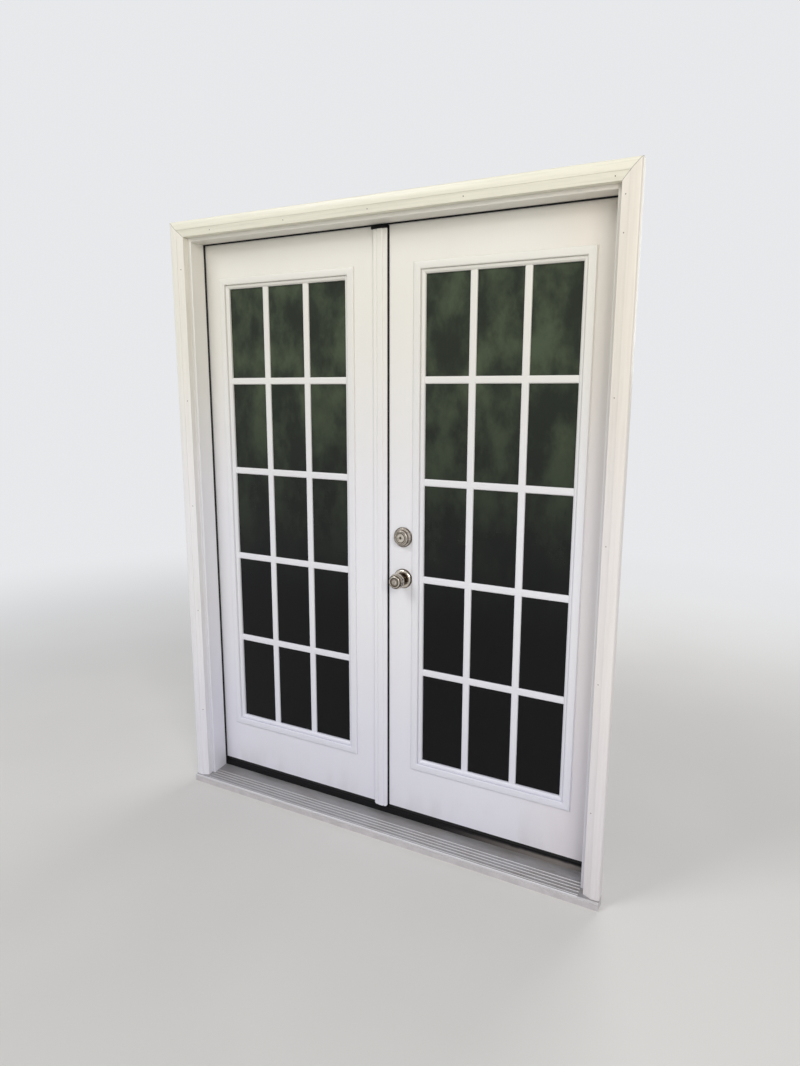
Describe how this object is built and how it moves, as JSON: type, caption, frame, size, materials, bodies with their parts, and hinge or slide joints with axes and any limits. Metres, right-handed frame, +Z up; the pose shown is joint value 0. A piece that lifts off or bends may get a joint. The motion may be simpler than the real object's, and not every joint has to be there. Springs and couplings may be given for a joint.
{
  "type": "double entry door unit with glazed leaves",
  "caption": "White double entry door unit: inswing leaves with gridded glass, ribbed astragal, knob and deadbolt, brick moulding and ribbed aluminium sill.",
  "frame": {"origin": "on the underside of the sill, midway between the leaves, in the plane of their outer faces", "axes": "+X to the right seen from outside, +Y into the building, +Z up"},
  "size_m": [1.585, 0.2245, 2.0875],
  "materials": {
    "frame_paint": "white semi-gloss paint",
    "casing_paint": "white semi-gloss paint",
    "door_paint": "white satin paint",
    "astragal_paint": "white satin",
    "lite_plastic": "white satin moulding",
    "stile_wood": "bare timber",
    "foam_core": "rigid foam",
    "clear_glass": "clear",
    "spacer_bar": "satin",
    "satin_nickel": "satin nickel",
    "black_seal": "matt",
    "black_foam": "matt foam",
    "black_vinyl": "matt",
    "cap_vinyl": "matt",
    "sill_composite": "matt",
    "mill_aluminium": "mill finish, ribbed"
  },
  "bodies": {
    "frame": {"jamb_left": "frame_paint", "jamb_right": "frame_paint", "jamb_head": "frame_paint", "casing_left": "casing_paint", "casing_right": "casing_paint", "casing_head": "casing_paint", "door_stops": "frame_paint", "weatherstrips": "black_seal", "sill_substrate": "sill_composite", "sill_deck": "mill_aluminium", "sill_riser": "black_vinyl", "threshold_cap": "cap_vinyl", "corner_pads": "black_foam", "bolt_keepers": "satin_nickel", "hinge_frame_leaves": "satin_nickel", "hinge_pins": "satin_nickel"},
    "left_leaf": {"left_edge_frame": "stile_wood", "left_foam_core": "foam_core", "left_skin_outer": "door_paint", "left_skin_inner": "door_paint", "left_lite_frame_outer": "lite_plastic", "left_lite_frame_inner": "lite_plastic", "left_grille_outer": "lite_plastic", "left_grille_inner": "lite_plastic", "left_glass_panes": "clear_glass", "left_glass_spacer": "spacer_bar", "left_hinge_leaves": "satin_nickel", "left_sweep": "black_vinyl", "astragal": "astragal_paint", "astragal_seal": "black_seal", "astragal_end_pads": "black_foam", "strike_plates": "satin_nickel"},
    "right_leaf": {"right_edge_frame": "stile_wood", "right_foam_core": "foam_core", "right_skin_outer": "door_paint", "right_skin_inner": "door_paint", "right_lite_frame_outer": "lite_plastic", "right_lite_frame_inner": "lite_plastic", "right_grille_outer": "lite_plastic", "right_grille_inner": "lite_plastic", "right_glass_panes": "clear_glass", "right_glass_spacer": "spacer_bar", "right_hinge_leaves": "satin_nickel", "right_sweep": "black_vinyl", "knob_roses": "satin_nickel", "latch_case": "satin_nickel", "deadbolt_case": "satin_nickel", "deadbolt_collar": "satin_nickel", "deadbolt_inner_plate": "satin_nickel"},
    "flush_bolt_top": {"flush_bolt_top": "satin_nickel"},
    "flush_bolt_bottom": {"flush_bolt_bottom": "satin_nickel"},
    "deadbolt_turn": {"deadbolt_plug": "satin_nickel", "thumb_turn": "satin_nickel"},
    "deadbolt_bolt": {"deadbolt_bolt": "satin_nickel"},
    "knobs": {"knob_outer": "satin_nickel", "knob_inner": "satin_nickel"},
    "knob_lock": {"knob_plug": "satin_nickel", "turn_button": "satin_nickel"},
    "latch_bolt": {"latch_bolt": "satin_nickel"}
  },
  "joints": [
    {"name": "left_leaf_swing", "type": "hinge", "parent": "frame", "child": "left_leaf", "pos_m": [-0.7401, 0.05095, 0], "axis": [0, 0, 1], "range_deg": [0, 110]},
    {"name": "right_leaf_swing", "type": "hinge", "parent": "frame", "child": "right_leaf", "pos_m": [0.7401, 0.05095, 0], "axis": [0, 0, -1], "range_deg": [0, 110]},
    {"name": "top_bolt_slide", "type": "slide", "parent": "left_leaf", "child": "flush_bolt_top", "axis": [0, 0, 1], "range_m": [0, 0.022]},
    {"name": "bottom_bolt_slide", "type": "slide", "parent": "left_leaf", "child": "flush_bolt_bottom", "axis": [0, 0, -1], "range_m": [0, 0.022]},
    {"name": "thumb_turn", "type": "hinge", "parent": "right_leaf", "child": "deadbolt_turn", "pos_m": [0.0744, 0, 1.0456], "axis": [0, 1, 0], "range_deg": [0, 90]},
    {"name": "deadbolt_slide", "type": "slide", "parent": "right_leaf", "child": "deadbolt_bolt", "axis": [-1, 0, 0], "range_m": [0, 0.0254]},
    {"name": "knob_turn", "type": "hinge", "parent": "right_leaf", "child": "knobs", "pos_m": [0.0744, 0, 0.9056], "axis": [0, 1, 0], "range_deg": [0, 60]},
    {"name": "knob_lock_turn", "type": "hinge", "parent": "knobs", "child": "knob_lock", "pos_m": [0.0744, 0, 0.9056], "axis": [0, 1, 0], "range_deg": [0, 90]},
    {"name": "latch_slide", "type": "slide", "parent": "right_leaf", "child": "latch_bolt", "axis": [-1, 0, 0], "range_m": [0, 0.0127]}
  ],
  "couplings": [
    {"joint": "thumb_turn", "follows": "deadbolt_slide", "rad_per_m": 61.84},
    {"joint": "knob_turn", "follows": "latch_slide", "rad_per_m": 82.45}
  ]
}
